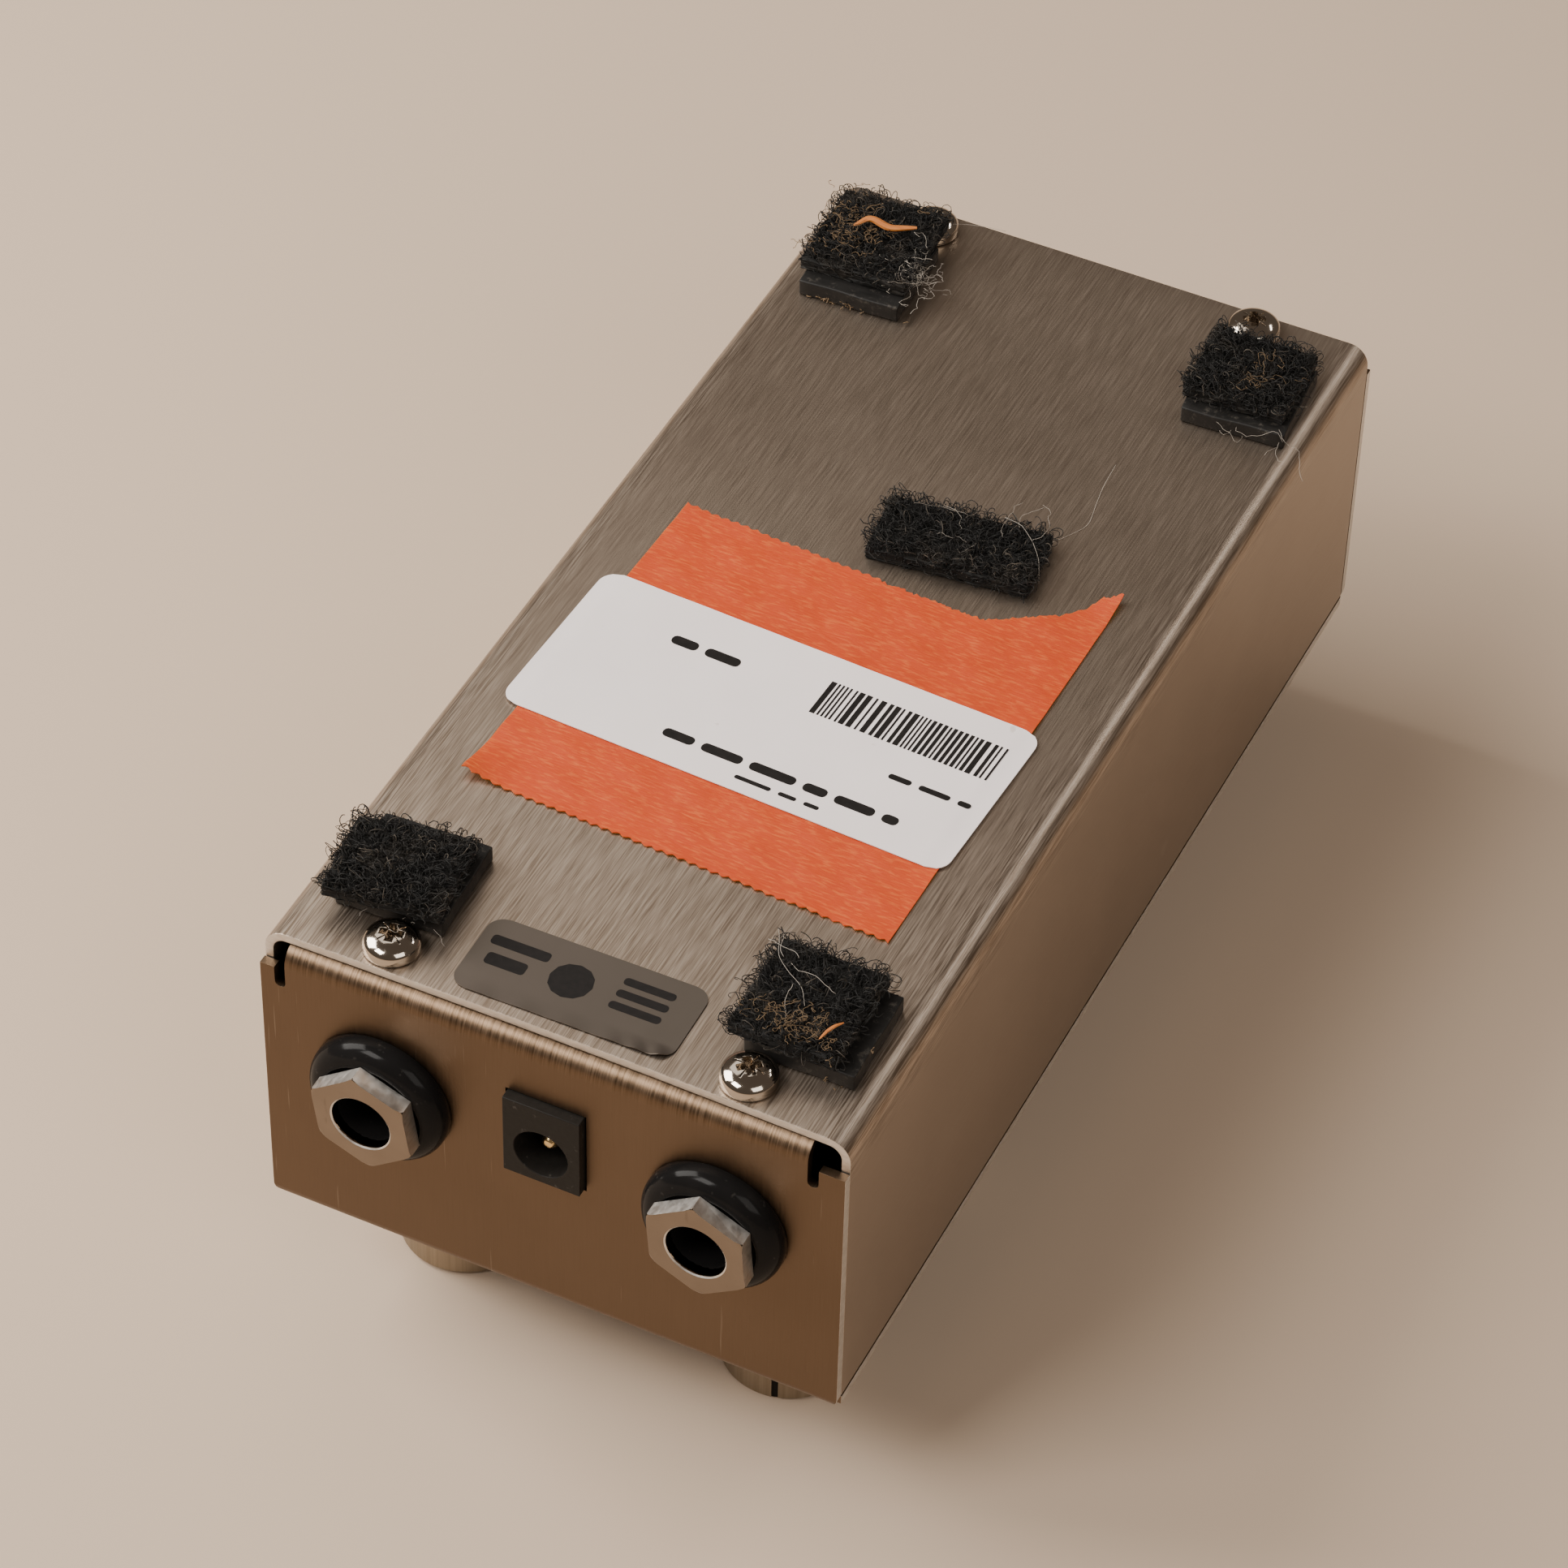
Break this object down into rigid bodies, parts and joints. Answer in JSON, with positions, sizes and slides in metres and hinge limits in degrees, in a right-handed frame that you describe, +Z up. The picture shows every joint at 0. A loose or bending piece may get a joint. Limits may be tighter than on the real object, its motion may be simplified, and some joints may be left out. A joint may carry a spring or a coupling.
{
  "type": "guitar effects pedal",
  "caption": "Compact metal-cased effects pedal lying on its knobs, with end sockets, screwed base plate, rubber feet, hook-and-loop pads, torn tape and blank labels.",
  "frame": {"origin": "centre of the case's footprint, on the surface that its knobs and footswitch rest on", "axes": "+Z up through the base plate, +Y along the case away from the end with the sockets, +X across"},
  "size_m": [0.064, 0.1394, 0.0574],
  "materials": {
    "stainless": "brushed, worn, faint scratches",
    "chrome": "bright nickel plate",
    "zinc_steel": "zinc-plated",
    "turned_aluminium": "fine vertical turning marks",
    "brass": "polished",
    "gloss_black": "moulded, glossy",
    "matt_black": "moulded, satin",
    "foot_rubber": "die-cut sheet rubber",
    "loop_fabric": "looped pile, worn and linty",
    "masking_tape": "orange crepe paper tape, torn at one end",
    "label_paper": "printed paper",
    "label_foil": "silvered polyester",
    "circuit_board": "green solder mask",
    "led_red": "clear tinted",
    "cable_grey": "ribbed flat cable"
  },
  "bodies": {
    "case": {"chassis": "stainless", "bottom_cover": "stainless", "jack_nut_1": "chrome", "jack_nut_2": "chrome", "footswitch_bushing": "chrome", "footswitch_nut": "chrome", "led_bezel": "chrome", "cover_screw_1": "zinc_steel", "cover_screw_2": "zinc_steel", "cover_screw_3": "zinc_steel", "cover_screw_4": "zinc_steel", "flange_nut_1": "zinc_steel", "flange_nut_2": "zinc_steel", "flange_nut_3": "zinc_steel", "flange_nut_4": "zinc_steel", "pot_nut_1": "zinc_steel", "pot_nut_2": "zinc_steel", "pot_nut_3": "zinc_steel", "pot_nut_4": "zinc_steel", "pot_body_1": "zinc_steel", "pot_body_2": "zinc_steel", "pot_body_3": "zinc_steel", "pot_body_4": "zinc_steel", "footswitch_spring": "zinc_steel", "dc_jack_pin": "brass", "jack_contact_1": "brass", "jack_contact_2": "brass", "jack_body_1": "gloss_black", "jack_body_2": "gloss_black", "jack_collar_1": "gloss_black", "jack_collar_2": "gloss_black", "dc_jack_body": "matt_black", "board_header": "matt_black", "footswitch_body": "matt_black", "rubber_foot_1": "foot_rubber", "rubber_foot_2": "foot_rubber", "rubber_foot_3": "foot_rubber", "rubber_foot_4": "foot_rubber", "loop_pad_1": "loop_fabric", "loop_pad_2": "loop_fabric", "loop_pad_3": "loop_fabric", "loop_pad_4": "loop_fabric", "loop_strip": "loop_fabric", "masking_tape": "masking_tape", "paper_label": "label_paper", "compliance_label": "label_foil", "main_board": "circuit_board", "jack_board": "circuit_board", "footswitch_board": "circuit_board", "led_lens": "led_red", "ribbon_cable": "cable_grey"},
    "control_1": {"knob_1": "turned_aluminium", "pot_shaft_1": "turned_aluminium"},
    "control_2": {"knob_2": "turned_aluminium", "pot_shaft_2": "turned_aluminium"},
    "control_3": {"knob_3": "turned_aluminium", "pot_shaft_3": "turned_aluminium"},
    "control_4": {"knob_4": "turned_aluminium", "pot_shaft_4": "turned_aluminium"},
    "stomp_button": {"footswitch_plunger": "chrome"}
  },
  "joints": [
    {"name": "knob_1_turn", "type": "hinge", "parent": "case", "child": "control_1", "pos_m": [-0.01885, -0.04795, 0.0072], "axis": [0, 0, 1], "range_deg": [-255, 45]},
    {"name": "knob_2_turn", "type": "hinge", "parent": "case", "child": "control_2", "pos_m": [0.01885, -0.04795, 0.0072], "axis": [0, 0, 1], "range_deg": [-164, 136]},
    {"name": "knob_3_turn", "type": "hinge", "parent": "case", "child": "control_3", "pos_m": [-0.01885, -0.01795, 0.0072], "axis": [0, 0, 1], "range_deg": [-90, 210]},
    {"name": "knob_4_turn", "type": "hinge", "parent": "case", "child": "control_4", "pos_m": [0.01885, -0.01795, 0.0072], "axis": [0, 0, 1], "range_deg": [-195, 105]},
    {"name": "footswitch_press", "type": "slide", "parent": "case", "child": "stomp_button", "axis": [0, 0, 1], "range_m": [0, 0.0025], "stiffness_N_per_m": 3000, "springref_m": -0.003, "deforming": ["footswitch_spring"]}
  ]
}
